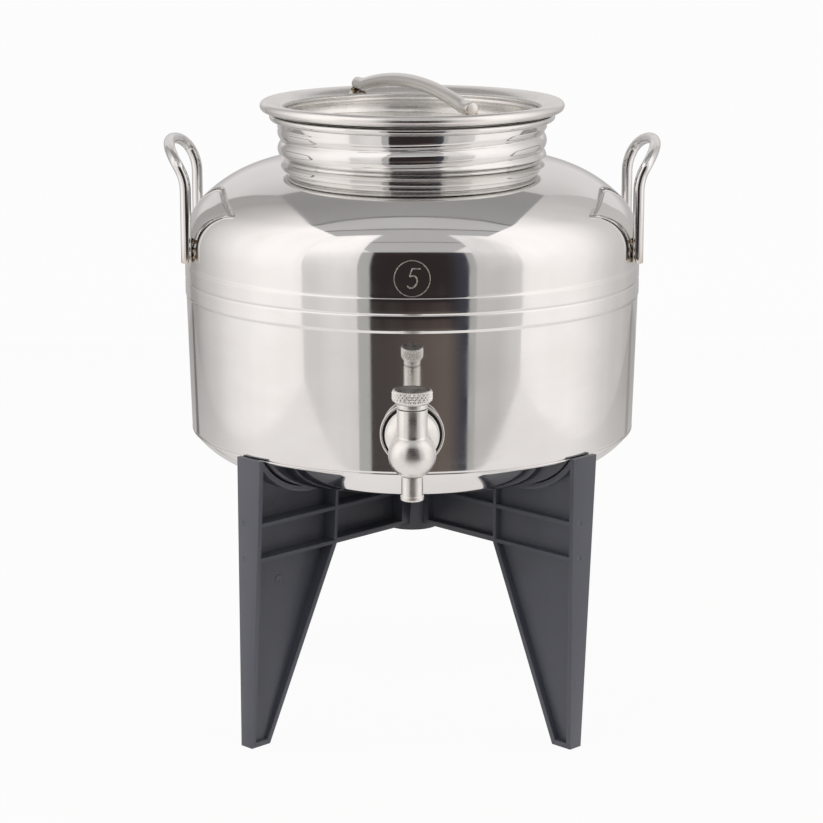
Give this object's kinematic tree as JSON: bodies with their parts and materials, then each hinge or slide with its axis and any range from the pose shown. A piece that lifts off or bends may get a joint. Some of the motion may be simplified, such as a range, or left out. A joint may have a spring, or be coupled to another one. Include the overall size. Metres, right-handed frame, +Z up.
{
  "type": "olive oil dispenser with tap",
  "caption": "Round stainless steel oil drum with screw lid, carrying handles and a knob-operated tap, resting loose on a ribbed plastic stand.",
  "frame": {"origin": "bottom centre of the whole object's box, on the floor between the feet", "axes": "+Z up along the drum's axis, the tap points along -Y, +X to the right seen from the tap"},
  "size_m": [0.2368, 0.27, 0.3099],
  "materials": {
    "polished_steel": "mirror polished stainless sheet",
    "handle_steel": "polished rod with brown weld spots",
    "satin_steel": "satin rod",
    "tap_steel": "turned, satin to semi bright",
    "seal_rubber": "pale food-grade silicone",
    "valve_rubber": "black nitrile",
    "stand_plastic": "fine matt moulded charcoal"
  },
  "bodies": {
    "stand": {"stand_hub": "stand_plastic", "leg_front_left": "stand_plastic", "leg_front_right": "stand_plastic", "leg_back_left": "stand_plastic", "leg_back_right": "stand_plastic"},
    "vessel": {"drum_shell": "polished_steel", "neck_ring": "polished_steel", "base_pan": "polished_steel", "handle_left": "handle_steel", "handle_right": "handle_steel", "tap_shank": "tap_steel", "tap_flange": "tap_steel", "tap_outer_gasket": "seal_rubber", "tap_inner_gasket": "seal_rubber", "tap_lock_nut": "tap_steel", "tap_body": "tap_steel", "tap_bonnet": "tap_steel", "tap_spout": "tap_steel"},
    "lid_gasket": {"lid_gasket": "seal_rubber"},
    "lid": {"lid_pan": "polished_steel", "lid_handle": "satin_steel"},
    "valve_stem": {"valve_stem": "tap_steel", "valve_seal": "valve_rubber", "stem_o_ring": "valve_rubber"},
    "tap_knob": {"tap_knob": "tap_steel"}
  },
  "joints": [
    {"name": "vessel_lift", "type": "slide", "parent": "stand", "child": "vessel", "axis": [0, 0, 1], "range_m": [0, 0.15]},
    {"name": "lid_lift", "type": "slide", "parent": "vessel", "child": "lid_gasket", "axis": [0, 0, 1], "range_m": [0, 0.024]},
    {"name": "lid_turn", "type": "hinge", "parent": "lid_gasket", "child": "lid", "pos_m": [0, 0.0255, 0.295], "axis": [0, 0, 1], "range_deg": [0, 1080]},
    {"name": "stem_lift", "type": "slide", "parent": "vessel", "child": "valve_stem", "axis": [0, 0, 1], "range_m": [0, 0.0035]},
    {"name": "knob_turn", "type": "hinge", "parent": "valve_stem", "child": "tap_knob", "pos_m": [0, -0.1245, 0.1834], "axis": [0, 0, 1], "range_deg": [0, 720]}
  ],
  "couplings": [
    {"joint": "lid_turn", "follows": "lid_lift", "rad_per_m": 785.4},
    {"joint": "knob_turn", "follows": "stem_lift", "rad_per_m": 3590.4}
  ]
}
